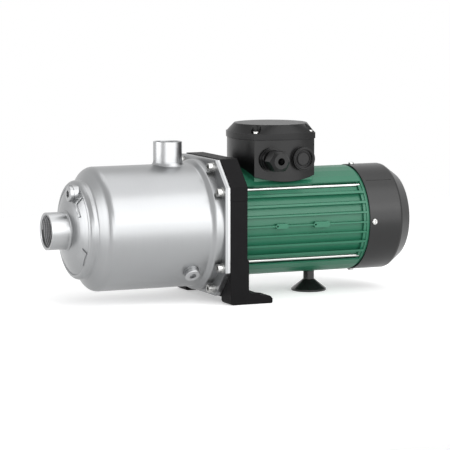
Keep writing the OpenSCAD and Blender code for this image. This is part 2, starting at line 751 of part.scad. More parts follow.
// Cast bracket: octagonal lantern, front bearing housing and two feet
bracket_rear_wall = 8;
panel_h = 70;
panel_t = 0.4;
spigot_h = 5;
module motor_bracket() {
    half = bracket_w / 2;
    corner = half - plate_cut;
    inner_y = half - foot_w;
    color([0.13, 0.13, 0.14]) difference() {
        union() {
            on_shaft() linear_extrude(bracket_d) octagon(bracket_w, plate_cut);
            on_shaft(bracket_d - cut) cylinder(r = stator_r - fit_gap, h = spigot_h + cut);
            for (side = [-1, 1]) intersection() {
                at_flange([0, side > 0 ? inner_y : -half, 0]) rotate([90, 0, 0])
                    mirror([0, 0, 1]) linear_extrude(foot_w) polygon(foot_side());
                on_shaft(-cut) linear_extrude(foot_reach + 2 * cut) polygon([
                    [side * (inner_y + 2), -shaft_h], [side * half, -shaft_h],
                    [side * half, 0], [side * 20, 0], [side * corner, -half + 6],
                    [side * inner_y, -shaft_h + 3]]);
            }
        }
        on_shaft(-cut) linear_extrude(bracket_d - bracket_rear_wall + cut) difference() {
            intersection() {
                octagon(bracket_w - 2 * bracket_wall, plate_cut - bracket_wall * 0.59);
                circle(screw_circle_r - 6.5);
            }
            circle(bearing_r + 6);
            for (a = [0:45:359]) rotate([0, 0, a + 22.5]) translate([bearing_r, -2.5])
                square([bracket_w / 2, 5]);
        }
        on_shaft(bracket_d) cylinder(r = stator_r - 6, h = spigot_h + cut);
        on_shaft(front_bearing_x) cylinder(r = bearing_r + fit_gap / 2, h = bracket_d + spigot_h);
        on_shaft(front_bearing_x - 2) cylinder(r = bearing_r - 3, h = 3);
        on_shaft(-cut) cylinder(r = bearing_r - 1.5, h = front_bearing_x - 2 + cut + 0.01);
        on_shaft(-cut) each_flange_screw() cylinder(r = screw_r + fit_gap, h = 15 + cut);
        for (a = rod_angles) on_shaft(rod_front - 1) rotate([0, 0, a])
            translate([rod_circle_r, 0, 0]) cylinder(r = rod_r + fit_gap, h = bracket_d);
        for (side = [-1, 1]) at_flange([bolt_x, side * bolt_spacing / 2, -shaft_h - cut])
            cylinder(r = bolt_hole_r, h = foot_root_t + 2 * cut);
        for (side = [0, 180]) on_shaft(-cut) rotate([0, 0, side])
            translate([half - panel_t, -panel_h / 2, 0])
            cube([panel_t + cut, panel_h, bracket_d + 2 * cut]);
    }
}

// Socket head screws with washers that clamp the barrel and cover to the bracket
washer_t = 1.4;
module flange_screws() {
    head_h = 2 * screw_r;
    color([0.8, 0.8, 0.8]) on_shaft(-2 * plate_t) each_flange_screw() difference() {
        union() {
            translate([0, 0, -washer_t - head_h]) cylinder(r = screw_head_r, h = head_h - 0.6);
            translate([0, 0, -washer_t - head_h]) cylinder(r = screw_head_r - 0.3, h = head_h);
            translate([0, 0, -washer_t - 0.1]) cylinder(r = screw_r, h = washer_t + 2 * plate_t + 13);
        }
        translate([0, 0, -washer_t - head_h - cut])
            cylinder(d = 1.66 * screw_r / cos(30), h = head_h * 0.55 + cut, $fn = 6);
    }
}

// Plain washers under the heads of the flange screws
module flange_washers() {
    color([0.82, 0.82, 0.82]) on_shaft(-2 * plate_t - washer_t) each_flange_screw() difference() {
        cylinder(r = screw_head_r + 0.9, h = washer_t);
        translate([0, 0, -cut]) cylinder(r = screw_r + fit_gap, h = washer_t + 2 * cut);
    }
}

// Cross section of the motor housing
land_angles = [for (k = [0:8]) rod_angle + (90 - rod_angle) * k / 4];
module housing_section(fins = true) {
    root = 0.85 * fin_t;
    difference() {
        union() {
            circle(fin_root_r);
            if (fins) intersection() {
                circle(motor_r);
                for (side = [-1, 1]) for (i = [-3:3])
                    translate([0, i * fin_pitch]) polygon([[side * stator_r * 0.7, -root],
                        [side * fin_root_r, -root], [side * motor_r * 1.01, -fin_t / 2],
                        [side * motor_r * 1.01, fin_t / 2], [side * fin_root_r, root],
                        [side * stator_r * 0.7, root]]);
            }
            for (flip = [0, 180]) rotate([0, 0, flip]) polygon(
                [for (a = land_angles) [motor_r * cos(a), motor_r * sin(a)]]);
        }
        for (a = rod_angles) rotate([0, 0, a]) {
            translate([rod_circle_r, 0]) circle(rod_groove_r);
            translate([rod_circle_r, -rod_groove_r]) square([10, 2 * rod_groove_r]);
        }
        circle(stator_r);
    }
}

// Extruded and machined housing with cooling fins, box seat and foot boss
collar_len = 6;
fin_start = 3;
rear_collar_len = 4;
plate_pads = [[67, 85, 3], [118, 141, 3.5]];
module motor_housing() {
    len = motor_rear - housing_front;
    color([0.2, 0.47, 0.37]) difference() {
        union() {
            on_shaft(housing_front) linear_extrude(fin_start) housing_section(false);
            on_shaft(housing_front + fin_start) linear_extrude(len - fin_start) housing_section();
            for (c = [[housing_front, collar_len], [motor_rear - rear_collar_len, rear_collar_len]])
                on_shaft(c[0]) linear_extrude(c[1]) difference() {
                    circle(collar_r);
                    circle(stator_r);
                    for (a = rod_angles) rotate([0, 0, a]) {
                        translate([rod_circle_r, 0]) circle(rod_groove_r);
                        translate([rod_circle_r, -rod_groove_r]) square([10, 2 * rod_groove_r]);
                    }
                }
            intersection() {
                at_flange([box_x, 0, stator_r * 0.8]) linear_extrude(box_top) intersection() {
                    box_plan(box_wall);
                    square([saddle_len, 2 * pedestal_half_y], center = true);
                }
                on_shaft(housing_front + 2) difference() {
                    cylinder(r = pedestal_top, h = len - 4);
                    translate([0, 0, -cut]) cylinder(r = stator_r + 2, h = len);
                }
            }
            for (p = plate_pads) at_flange([0, -motor_r - 0.5, 0]) rotate([-90, 0, 0])
                linear_extrude(8) polygon([[p[0], 0], [p[0] + 2.5, p[2]], [p[1] - 2.5, p[2]],
                    [p[1], 0], [p[1] - 2.5, -p[2]], [p[0] + 2.5, -p[2]]]);
        }
        for (p = plate_pads) at_flange([p[0] + 3, -motor_r - cut, 0]) rotate([-90, 0, 0])
            cylinder(r = 1.2, h = 5, $fn = 24);
        at_flange([box_x, 0, stator_r - 4]) cylinder(r = 9, h = pedestal_top);
        for (side = [-1, 1]) at_flange([box_x + side * fixing_dx, 0, pedestal_top - fixing_depth - 1])
            cylinder(r = 2 + fit_gap, h = fixing_depth + 2);
        at_flange([support_x, 0, -motor_r - cut])
            cylinder(r = stud_r + run_gap, h = motor_r - stator_r - 1.5 + cut);
    }
}

// Laminated stator core with its winding slots
slot_in_r = stator_bore_r + 1.5;
slot_out_r = stator_r - 9;
module stator_core() {
    color([0.45, 0.45, 0.47]) on_shaft(core_x) linear_extrude(core_len) difference() {
        circle(stator_r - fit_gap);
        circle(stator_bore_r);
        for (a = [0:360 / slots:359]) rotate([0, 0, a]) {
            translate([slot_in_r, -2.2]) square([slot_out_r - slot_in_r, 4.4]);
            translate([stator_bore_r - cut, -0.9]) square([cut + 2.5, 1.8]);
        }
    }
}

// Copper windings: two end rings joined by the conductors in the slots
module stator_windings() {
    color([0.62, 0.34, 0.16]) {
        for (x = [core_x - winding_overhang, core_x + core_len + winding_gap])
            on_shaft(x) difference() {
                cylinder(r = slot_out_r - winding_gap + 2, h = winding_overhang - winding_gap);
                translate([0, 0, -cut])
                    cylinder(r = slot_in_r + 0.6, h = winding_overhang + 2 * cut);
            }
        on_shaft(core_x - cut) for (a = [0:360 / slots:359]) rotate([0, 0, a])
            translate([slot_in_r + winding_gap, -2.2 + winding_gap, 0])
            cube([slot_out_r - slot_in_r - 2 * winding_gap, 4.4 - 2 * winding_gap,
                core_len + 2 * cut]);
    }
}

// Laminated rotor core with slots for the cage
bar_count = 18;
bar_r = 2.2;
bar_circle_r = rotor_r - 4;
module rotor_core() {
    color([0.4, 0.4, 0.42]) on_shaft(core_x) linear_extrude(core_len) difference() {
        circle(rotor_r);
        circle(rotor_shaft_r + fit_gap);
        for (a = [0:360 / bar_count:359]) rotate([0, 0, a])
            translate([bar_circle_r, 0]) circle(bar_r, $fn = 16);
    }
}

// Cast cage: bars through the core and two end rings
module rotor_cage() {
    end_len = 8;
    color([0.72, 0.73, 0.75]) {
        for (x = [core_x - end_len, core_x + core_len]) ring(rotor_shaft_r + 6, rotor_r - 0.6,
            x, x + end_len);
        on_shaft(core_x - 1) for (a = [0:360 / bar_count:359]) rotate([0, 0, a])
            translate([bar_circle_r, 0, 0]) cylinder(r = bar_r - fit_gap, h = core_len + 2, $fn = 16);
    }
}

// Ball bearings: rings with raceways, balls and cages
pitch_r = (bearing_r + bearing_bore_r) / 2;
race_gap = 0.12;
module race(inner_r, outer_r) {
    rotate_extrude() difference() {
        translate([inner_r, 0]) square([outer_r - inner_r, bearing_w]);
        translate([pitch_r, bearing_w / 2]) circle(ball_r + race_gap);
    }
}
module bearing_outer_rings() {
    color([0.75, 0.76, 0.78]) for (x = [front_bearing_x, rear_bearing_x])
        on_shaft(x) race(pitch_r + 2.1, bearing_r);
}
module bearing_inner_rings() {
    color([0.75, 0.76, 0.78]) for (x = [front_bearing_x, rear_bearing_x])
        on_shaft(x) race(bearing_bore_r + fit_gap / 2, pitch_r - 2.1);
}
cage_w = 2 * ball_r + 2;
cage_t = 1.2;
module ball_cages() {
    color([0.8, 0.81, 0.83]) for (x = [front_bearing_x, rear_bearing_x]) on_shaft(x) {
        difference() {
            translate([0, 0, (bearing_w - cage_w) / 2]) cylinder(r = pitch_r + cage_t, h = cage_w);
            translate([0, 0, -cut]) cylinder(r = pitch_r - cage_t, h = bearing_w + 2 * cut);
            for (a = [0:360 / balls:359]) rotate([0, 0, a]) {
                translate([0, 0, bearing_w / 2]) rotate([0, 90, 0])
                    cylinder(r = ball_r + 0.15, h = bearing_r);
            }
        }
        for (a = [0:360 / balls:359]) rotate([0, 0, a])
            translate([pitch_r, 0, bearing_w / 2]) sphere(ball_r);
    }
}

// Rear end shield with the rear bearing seat and the fan cover rim
module rear_end_shield() {
    hub_front = rear_bearing_x - 3;
    color([0.6, 0.61, 0.62]) difference() {
        union() {
            on_shaft(motor_rear) cylinder(r = shield_rim_r, h = 5);
            on_shaft(motor_rear) difference() {
                cylinder(r = shield_rim_r, h = shield_rim);
                translate([0, 0, -cut]) cylinder(r = shield_rim_r - 7.5, h = shield_rim + 2 * cut);
            }
            on_shaft(motor_rear - spigot_h) difference() {
                cylinder(r = stator_r - fit_gap, h = spigot_h + cut);
                translate([0, 0, -cut]) cylinder(r = stator_r - 6, h = spigot_h + 2 * cut);
            }
            on_shaft(hub_front) cylinder(r = shield_hub_r, h = rear_bearing_x + bearing_w + 3 - hub_front);
            for (a = [0:60:359]) on_shaft(motor_rear) rotate([0, 0, a])
                translate([shield_hub_r - 2, -2, 0]) cube([stator_r - shield_hub_r, 4, 9]);
        }
        on_shaft(hub_front - cut) cylinder(r = bearing_r + fit_gap / 2,
            h = rear_bearing_x + bearing_w + 1.6 - hub_front + cut);
        on_shaft(hub_front) cylinder(r = pump_shaft_r + 3, h = 60);
        for (a = rod_angles) on_shaft(motor_rear - cut) rotate([0, 0, a])
            translate([rod_circle_r, 0, 0]) cylinder(r = rod_r + 0.2, h = shield_rim + 2 * cut);
        for (a = [0:90:270]) on_shaft(cover_screw_x) rotate([0, 0, a]) rotate([0, 90, 0])
            translate([0, 0, shield_rim_r - 9]) cylinder(r = 1.5 + fit_gap, h = 12);
    }
}

// Spring washer that loads the rear bearing
module wave_washer() {
    color([0.65, 0.66, 0.68]) ring(bearing_r - 5, bearing_r - 0.6,
        rear_bearing_x + bearing_w + 0.3, rear_bearing_x + bearing_w + 1.2);
}

// Four tie rods with their nuts
module tie_rods() {
    color([0.82, 0.82, 0.8]) for (a = rod_angles) on_shaft() rotate([0, 0, a])
        translate([rod_circle_r, 0, 0]) {
            translate([0, 0, rod_front]) cylinder(r = rod_r, h = rod_rear - rod_front);
            translate([0, 0, motor_rear + shield_rim]) difference() {
                rotate([0, 0, 30]) cylinder(d = 3.4 * rod_r / cos(30), h = rod_nut_h, $fn = 6);
                translate([0, 0, -cut]) cylinder(r = rod_r + 0.05, h = rod_nut_h + 2 * cut);
            }
        }
}

// Moulded fan cover with an air inlet grille
grille_slot = 4;
grille_hub_r = 14;
grille_count = 6;
grille_pitch = (cover_rim_r - 4.5 - grille_slot / 2 - grille_hub_r) / (grille_count - 1);
grille_rings = [for (i = [0:grille_count - 1]) grille_hub_r + i * grille_pitch];
grille_spokes = 8;
module fan_cover() {
    cone_x = cover_rear - cover_cone;
    outer = [[cover_r, cover_front], [cover_r, cone_x - 1], [cover_r - 0.5, cone_x + 1.2],
        [cover_rim_r + 1.5, cover_rear - 4], [cover_rim_r - 0.5, cover_rear - 1.2],
        [cover_rim_r - 3.5, cover_rear], [0, cover_rear]];
    inner = [[0, cover_rear - cover_t], [cover_rim_r - 4.2, cover_rear - cover_t],
        [cover_rim_r - 1, cover_rear - 4.5], [cover_r - 2 * cover_t * 0.62, cone_x + 0.6],
        [cover_r - cover_t, cone_x - 1.5], [cover_r - cover_t, cover_front]];
    color([0.2, 0.2, 0.21]) difference() {
        on_shaft() rotate_extrude() polygon(concat(outer, inner));
        on_shaft(cover_rear - cover_t - cut) linear_extrude(cover_t + 2 * cut) difference() {
            for (r = grille_rings) difference() {
                circle(r + grille_slot / 2);
                circle(r - grille_slot / 2);
            }
            for (a = [0:360 / grille_spokes:359]) rotate([0, 0, a]) translate([0, -1.5])
                square([cover_rim_r, 3]);
        }
        for (a = [0:90:270]) on_shaft(cover_screw_x) rotate([0, 0, a]) rotate([0, 90, 0])
            translate([0, 0, cover_r - 5]) cylinder(r = 1.8, h = 10);
        for (a = [48, 132]) on_shaft(cover_front + 4) rotate([0, 0, a])
            translate([cover_r - 0.6, -0.4, 0]) cube([2, 0.8, cone_x - cover_front - 8]);
    }
}

// Radial pan head screws of the fan cover
module fan_cover_screws() {
    color([0.85, 0.85, 0.86]) for (a = [0:90:270]) on_shaft(cover_screw_x) rotate([0, 0, a])
        rotate([0, 90, 0]) difference() {
            union() {
                translate([0, 0, shield_rim_r - 8]) cylinder(r = 1.5, h = cover_r - shield_rim_r + 8.6);
                translate([0, 0, cover_r + 0.1]) cylinder(r = 3.6, h = 1.4);
                translate([0, 0, cover_r + 1.5]) cylinder(r1 = 3.6, r2 = 2.4, h = 1);
            }
            translate([-0.5, -2.2, cover_r + 1.3]) cube([1, 4.4, 2]);
            translate([-2.2, -0.5, cover_r + 1.3]) cube([4.4, 1, 2]);
        }
}

// Plan of the terminal box, drawn in by t on every side
module box_plan(t) {
    intersection() {
        translate([box_rx - box_half_x - bulge_x, 0]) circle(box_rx - t, $fn = 120);
        translate([-box_rx + box_half_x + bulge_x, 0]) circle(box_rx - t, $fn = 120);
        translate([0, box_ry - box_half_y - bulge_y]) circle(box_ry - t, $fn = 120);
        translate([0, -box_ry + box_half_y + bulge_y]) circle(box_ry - t, $fn = 120);
    }
}
module each_lid_screw() {
    for (sx = [-1, 1]) for (sy = [-1, 1]) translate([sx * lid_screw_x, sy * lid_screw_y, 0])
        children();
}

// Carries a piece drawn upright to a cable entry, pointing out of the front wall
module at_entry(dx, y = 0) {
    at_flange([box_x + dx, -y, entry_z]) rotate([90, 0, 0]) children();
}

// Moulded terminal box with a saddle under it and two cable entries
entry_boss_r = 14.3;
box_bottom = 48;
module terminal_box() {
    color([0.17, 0.17, 0.18]) difference() {
        union() {
            difference() {
                at_flange([box_x, 0, box_bottom]) linear_extrude(box_top - box_bottom) box_plan(0);
                difference() {
                    at_flange([box_x, 0, box_bottom]) linear_extrude(box_top - box_bottom + cut)
                        box_plan(box_wall);
                    on_shaft(box_x - saddle_len / 2) cylinder(r = floor_z, h = saddle_len);
                }
            }
            intersection() {
                at_flange([box_x, 0, floor_z - 4]) each_lid_screw()
                    cylinder(r = 4.2, h = box_top - floor_z + 4);
                at_flange([box_x, 0, 0]) linear_extrude(box_top) box_plan(0);
            }
            for (dx = [-gland_dx, blind_dx]) at_entry(dx, entry_face_y - 5)
                cylinder(r = entry_boss_r, h = 5);
        }
        on_shaft(box_x - saddle_len / 2) cylinder(r = saddle_r, h = saddle_len);
        at_flange([box_x, 0, 0]) cylinder(r = 9, h = box_top);
        for (side = [-1, 1]) at_flange([box_x + side * fixing_dx, 0, 0])
            cylinder(r = 2.3, h = box_top);
        at_entry(-gland_dx, box_half_y - 6) cylinder(r = gland_r + fit_gap, h = 20);
        at_entry(blind_dx, box_half_y - 6) cylinder(r = gland_r + fit_gap, h = 20);
        at_flange([box_x, 0, box_top - 14]) each_lid_screw() cylinder(r = 1.6, h = 15);
    }
}

// Screws that hold the box to the housing
module box_fixing_screws() {
    color([0.8, 0.8, 0.8]) for (side = [-1, 1])
        at_flange([box_x + side * fixing_dx, 0, floor_z + 0.1]) {
            cylinder(r = fixing_head_r, h = 2.6);
            translate([0, 0, -floor_z + pedestal_top - fixing_depth])
                cylinder(r = 2, h = floor_z - pedestal_top + fixing_depth + 0.2);
        }
}

// Lid with a straight rim, a bevelled top and a pocket at each screw
module terminal_box_lid() {
    rim_top = lid_base + lid_rim;
    lid_t = 2.2;
    color([0.19, 0.19, 0.2]) difference() {
        union() {
            at_flange([box_x, 0, lid_base]) linear_extrude(lid_rim) box_plan(-1.2);
            hull() {
                at_flange([box_x, 0, rim_top - 0.2]) linear_extrude(0.2) box_plan(-0.4, $fn = 60);
                at_flange([box_x, 0, rim_top + lid_rise - 0.2])
                    cylinder(r = lid_top_r, h = 0.2, $fn = 60);
            }
        }
        difference() {
            union() {
                at_flange([box_x, 0, lid_base - cut]) linear_extrude(lid_rim + cut)
                    box_plan(box_wall);
                at_flange([box_x, 0, rim_top - 0.1]) cylinder(r1 = lid_top_r - 2,
                    r2 = lid_top_r - lid_t - 4, h = lid_rise - lid_t);
            }
            at_flange([box_x, 0, lid_base - 2 * cut]) each_lid_screw()
                cylinder(r = 8, h = lid_rim + lid_rise);
        }
        at_flange([box_x, 0, rim_top + 0.5]) each_lid_screw() cylinder(r = 6, h = lid_rise + cut);
        at_flange([box_x, 0, lid_base - cut]) each_lid_screw() cylinder(r = 2.2, h = lid_rim + 5);
    }
}

// Flat gasket under the lid
module lid_gasket() {
    color([0.1, 0.1, 0.1]) at_flange([box_x, 0, box_top]) linear_extrude(gasket_t) difference() {
        box_plan(0.3);
        box_plan(box_wall - 0.2);
    }
}

// Four lid screws
module lid_screws() {
    color([0.8, 0.81, 0.82]) at_flange([box_x, 0, lid_base + lid_rim + 0.6]) each_lid_screw() {
        cylinder(r = 3.6, h = 2.4);
        translate([0, 0, -lid_rim - lid_screw_depth])
            cylinder(r = 1.5, h = lid_rim + lid_screw_depth + 0.1);
    }
}

// Terminal block with six studs, and the block's nuts and links
block_z = floor_z + 0.3;
block_h = 9;
stud_spots = [for (ix = [-1:1]) for (iy = [0, 1])
    [ix * 12, block_y + stud_inset + iy * (block_d - 2 * stud_inset)]];
module terminal_block() {
    color([0.55, 0.3, 0.16]) difference() {
        at_flange([box_x - block_l / 2, block_y, block_z]) cube([block_l, block_d, block_h]);
        for (p = stud_spots) at_flange([box_x + p[0], p[1], block_z - cut])
            cylinder(r = 2.1, h = block_h + 2 * cut);
    }
}
module terminal_studs() {
    color([0.78, 0.66, 0.35]) for (p = stud_spots) at_flange([box_x + p[0], p[1], block_z]) {
        cylinder(r = 2, h = block_h + 11);
        translate([0, 0, block_h + 0.1]) cylinder(d = 7 / cos(30), h = 3, $fn = 6);
    }
}

// Body of the cable gland with a round collar, screwed into the box
collar_t = 5;
gland_reach = 29;
module gland_body() {
    color([0.14, 0.14, 0.15]) at_entry(-gland_dx, entry_face_y) difference() {
        union() {
            translate([0, 0, 0.05]) cylinder(r = gland_collar_r, h = collar_t);
            translate([0, 0, -gland_tail]) cylinder(r = gland_r, h = gland_tail + collar_t + 12);
        }
        translate([0, 0, -gland_tail - cut]) cylinder(r = gland_bore_r, h = 2 * gland_reach);
    }
}

// Rubber seal of the cable gland
module gland_seal() {
    color([0.1, 0.1, 0.1]) at_entry(-gland_dx, entry_face_y + 12) difference() {
        cylinder(r = gland_bore_r - run_gap, h = 11);
        translate([0, 0, -cut]) cylinder(r = cable_r + 0.2, h = 11 + 2 * cut);
    }
}

// Domed hexagon nut of the cable gland
module gland_nut() {
    start = 10.5;
    dome = 5;
    color([0.15, 0.15, 0.16]) at_entry(-gland_dx, entry_face_y + start) difference() {
        intersection() {
            cylinder(d = gland_key / cos(30), h = gland_reach - start, $fn = 6);
            union() {
                cylinder(r = gland_key, h = gland_reach - start - dome);
                translate([0, 0, gland_reach - start - dome - 0.01])
                    cylinder(r1 = gland_key / 2 + 1.9, r2 = gland_key / 2 - 3, h = dome + 0.01);
            }
        }
        translate([0, 0, -cut]) cylinder(r = gland_r + run_gap, h = gland_reach - start - 5 + cut);
        cylinder(r = cable_r, h = gland_reach);
    }
}

// Blanking plug with a recessed face
module blind_plug() {
    color([0.15, 0.15, 0.16]) at_entry(blind_dx, entry_face_y) difference() {
        union() {
            translate([0, 0, 0.05]) cylinder(r = entry_boss_r, h = 4);
            translate([0, 0, -8]) cylinder(r = gland_r, h = 9);
        }
        translate([0, 0, 1.8]) cylinder(r = 10.6, h = 4);
    }
}

// Plastic cooling fan
module fan() {
    color([0.25, 0.25, 0.26]) {
        ring(pump_shaft_r + fit_gap, 13, fan_x, fan_end_x);
        ring(12, fan_r - 3, fan_x, fan_x + 2);
        on_shaft(fan_x + 1) for (a = [0:360 / fan_blades:359]) rotate([0, 0, a])
            translate([12, -1.1, 0]) cube([fan_r - 12, 2.2, fan_hub_len + 2]);
    }
}

// Snap ring that keeps the fan on the shaft
module fan_clip() {
    color([0.35, 0.35, 0.36]) on_shaft(fan_end_x + 0.4) difference() {
        cylinder(r = pump_shaft_r + 2.4, h = 1.2);
        translate([0, 0, -cut]) cylinder(r = pump_shaft_r - 0.6, h = 1.2 + 2 * cut);
        translate([0, -2, -cut]) cube([20, 4, 4]);
    }
}

// Bell shaped pad of the support foot
module support_pad() {
    color([0.11, 0.11, 0.12]) translate([support_x - bolt_x, 0, 0]) difference() {
        rotate_extrude() polygon(concat(
            [[0, 0], [support_r - 0.8, 0], [support_r, 0.8], [support_r, 2.6]],
            [for (i = [1:arc_steps]) let (s = i / arc_steps)
                [stem_r + 0.9 + (support_r - stem_r - 0.9) * pow(1 - s, 1.1),
                    2.6 + (pad_h - 2.6) * pow(s, 0.9)]],
            [[0, pad_h]]));
        translate([0, 0, 5]) cylinder(r = pin_r + run_gap, h = pad_h);
    }
}

// Stem of the support foot with its threaded stud
module support_stud() {
    color([0.14, 0.14, 0.15]) translate([support_x - bolt_x, 0, 0]) {
        translate([0, 0, 5.3]) cylinder(r = pin_r, h = pad_h);
        translate([0, 0, pad_h + 0.3]) cylinder(r = stem_r, h = stem_top - pad_h - 0.3);
        translate([0, 0, stem_top - 1]) cylinder(r = stud_r, h = 8);
    }
}

pump_barrel();
suction_nozzle();
discharge_nozzle();
plug_bosses();
priming_plug();
priming_o_ring();
drain_plug();
drain_o_ring();
casing_cover();
barrel_o_ring();
inlet_ring();
stage_casing_1();
stage_casing_2();
stage_casing_3();
stage_casing_4();
neck_rings();
outlet_ring();
seal_seat();
motor_bracket();
flange_screws();
flange_washers();
motor_housing();
stator_core();
stator_windings();
bearing_outer_rings();
rear_end_shield();
wave_washer();
tie_rods();
fan_cover();
fan_cover_screws();
terminal_box();
box_fixing_screws();
terminal_box_lid();
lid_gasket();
lid_screws();
terminal_block();
terminal_studs();
gland_body();
blind_plug();
shaft();
impeller_1();
impeller_2();
impeller_3();
impeller_4();
spacer_sleeves();
impeller_nut();
seal_ring();
seal_spring();
seal_bellows();
slinger();
rotor_core();
rotor_cage();
bearing_inner_rings();
ball_cages();
fan();
fan_clip();
support_pad();
support_stud();
gland_seal();
gland_nut();
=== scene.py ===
import math

import bmesh
import bpy
from mathutils import Euler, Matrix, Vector


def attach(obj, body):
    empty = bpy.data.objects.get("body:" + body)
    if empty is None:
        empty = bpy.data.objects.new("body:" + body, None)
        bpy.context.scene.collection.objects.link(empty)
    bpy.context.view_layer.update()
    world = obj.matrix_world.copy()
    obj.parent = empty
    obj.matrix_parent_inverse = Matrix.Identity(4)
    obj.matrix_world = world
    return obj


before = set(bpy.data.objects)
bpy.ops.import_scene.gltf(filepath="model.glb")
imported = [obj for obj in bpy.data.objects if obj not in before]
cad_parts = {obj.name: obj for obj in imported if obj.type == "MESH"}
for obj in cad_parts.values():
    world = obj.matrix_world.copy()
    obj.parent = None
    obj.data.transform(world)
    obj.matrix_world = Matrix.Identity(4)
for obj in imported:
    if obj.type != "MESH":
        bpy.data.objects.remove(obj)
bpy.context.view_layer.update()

# The pump stands on a plain matt sheet in a white studio with soft lamp panels round it.
# The sheet takes the pump's shadow, and it is lifted a little towards the white round it.
MM = 0.001
shaft_height = 90 * MM
floor_half = 0.9
floor_gap = 0.2 * MM
floor_white = 0.85
floor_lift = 0.4
studio_light = 0.4


def new_material(name):
    """A material with its nodes and links."""
    material = bpy.data.materials.new(name)
    material.use_nodes = True
    return material, material.node_tree.nodes, material.node_tree.links


def seen_directly(nodes, links):
    """One for what the camera sees, straight or in glass and metal."""
    path = nodes.new("ShaderNodeLightPath")
    either = nodes.new("ShaderNodeMath")
    either.operation = "MAXIMUM"
    links.new(path.outputs["Is Camera Ray"], either.inputs[0])
    links.new(path.outputs["Is Transmission Ray"], either.inputs[1])
    both = nodes.new("ShaderNodeMath")
    both.operation = "MAXIMUM"
    links.new(either.outputs[0], both.inputs[0])
    links.new(path.outputs["Is Glossy Ray"], both.inputs[1])
    return both.outputs[0]


def choose_by_ray(nodes, links, otherwise, when_seen):
    """Mixes two shaders: the second is the one that is seen directly."""
    choose = nodes.new("ShaderNodeMixShader")
    links.new(seen_directly(nodes, links), choose.inputs[0])
    links.new(otherwise.outputs[0], choose.inputs[1])
    links.new(when_seen.outputs[0], choose.inputs[2])
    return choose


floor_mesh = bmesh.new()
bmesh.ops.create_grid(floor_mesh, x_segments=1, y_segments=1, size=floor_half)
bmesh.ops.translate(floor_mesh, verts=floor_mesh.verts, vec=(0, 0, -floor_gap))
floor_data = bpy.data.meshes.new("studio_floor")
floor_mesh.to_mesh(floor_data)
floor_mesh.free()
floor = bpy.data.objects.new("studio_floor", floor_data)
bpy.context.scene.collection.objects.link(floor)

floor_paper, nodes, links = new_material("floor_paper")
paper = nodes["Principled BSDF"]
paper.inputs["Base Color"].default_value = (floor_white, floor_white, floor_white, 1)
paper.inputs["Roughness"].default_value = 0.9
paper.inputs["Specular IOR Level"].default_value = 0.1
lift = nodes.new("ShaderNodeEmission")
lift.inputs["Strength"].default_value = floor_lift
dark = nodes.new("ShaderNodeEmission")
dark.inputs["Strength"].default_value = 0
total = nodes.new("ShaderNodeAddShader")
links.new(paper.outputs[0], total.inputs[0])
links.new(choose_by_ray(nodes, links, dark, lift).outputs[0], total.inputs[1])
links.new(total.outputs[0], nodes["Material Output"].inputs["Surface"])
floor_data.materials.append(floor_paper)

world = bpy.data.worlds.new("studio")
bpy.context.scene.world = world
world.use_nodes = True
nodes, links = world.node_tree.nodes, world.node_tree.links
ambient = nodes["Background"]
ambient.inputs["Color"].default_value = (1, 1, 1, 1)
ambient.inputs["Strength"].default_value = studio_light
white = nodes.new("ShaderNodeBackground")
white.inputs["Color"].default_value = (1, 1, 1, 1)
white.inputs["Strength"].default_value = 1
links.new(choose_by_ray(nodes, links, ambient, white).outputs[0],
          nodes["World Output"].inputs["Surface"])
bpy.context.scene.view_settings.view_transform = "Standard"


def softbox(name, turn, rise, distance, size, glow):
    """A lamp panel that faces the pump; turn is measured from the front towards the fan end."""
    lamp = bpy.data.lights.new(name, "AREA")
    lamp.shape = "RECTANGLE"
    lamp.size, lamp.size_y = size
    lamp.energy = glow * math.pi * size[0] * size[1]
    across, up = math.radians(turn), math.radians(rise)
    towards = Vector((math.sin(across) * math.cos(up), -math.cos(across) * math.cos(up),
                      math.sin(up)))
    holder = bpy.data.objects.new(name, lamp)
    holder.location = towards * distance + Vector((0, 0, shaft_height))
    holder.rotation_euler = (-towards).to_track_quat("-Z", "Y").to_euler()
    bpy.context.scene.collection.objects.link(holder)


softbox("key_softbox", turn=26, rise=38, distance=1.7, size=(1.5, 1.35), glow=2.7)
softbox("front_right_softbox", turn=26, rise=8, distance=1.2, size=(0.9, 0.6), glow=2.3)
softbox("front_left_softbox", turn=-20, rise=8, distance=1.2, size=(1.05, 0.6), glow=2.7)
softbox("left_softbox", turn=-98, rise=7, distance=1.1, size=(0.8, 0.6), glow=3.1)
softbox("top_softbox", turn=120, rise=80, distance=1.9, size=(2.0, 1.4), glow=1.3)

# The camera stands where the photograph was taken from: low, a little to the left of square on,
# and far away, so that the shaft runs back to the right with little perspective. It aims at the
# shaft above the bolt line of the bracket.
camera_turn = math.radians(-23.7734)
camera_rise = math.radians(6.6481)
camera_distance = 3.047913
aim_right = 0.026508
aim_up = -0.00175
sensor_width = 36
lens_length = 199.569
bolt_line = -45 * MM
aimed_at = Vector((bolt_line, 0, shaft_height))
turned = Euler((math.pi / 2 - camera_rise, 0, camera_turn))
lens_data = bpy.data.cameras.new("photo_camera")
lens_data.sensor_width = sensor_width
lens_data.lens = lens_length
camera = bpy.data.objects.new("photo_camera", lens_data)
camera.rotation_euler = turned
camera.location = turned.to_matrix() @ Vector((aim_right, aim_up, camera_distance)) + aimed_at
bpy.context.scene.collection.objects.link(camera)
bpy.context.scene.camera = camera

# The pump barrel is deep-drawn stainless sheet with a domed end face, a swelled mouth and its
# own octagonal flange. The drawing dies leave fine rings about the shaft, and the sheet is
# pickled to a soft satin.


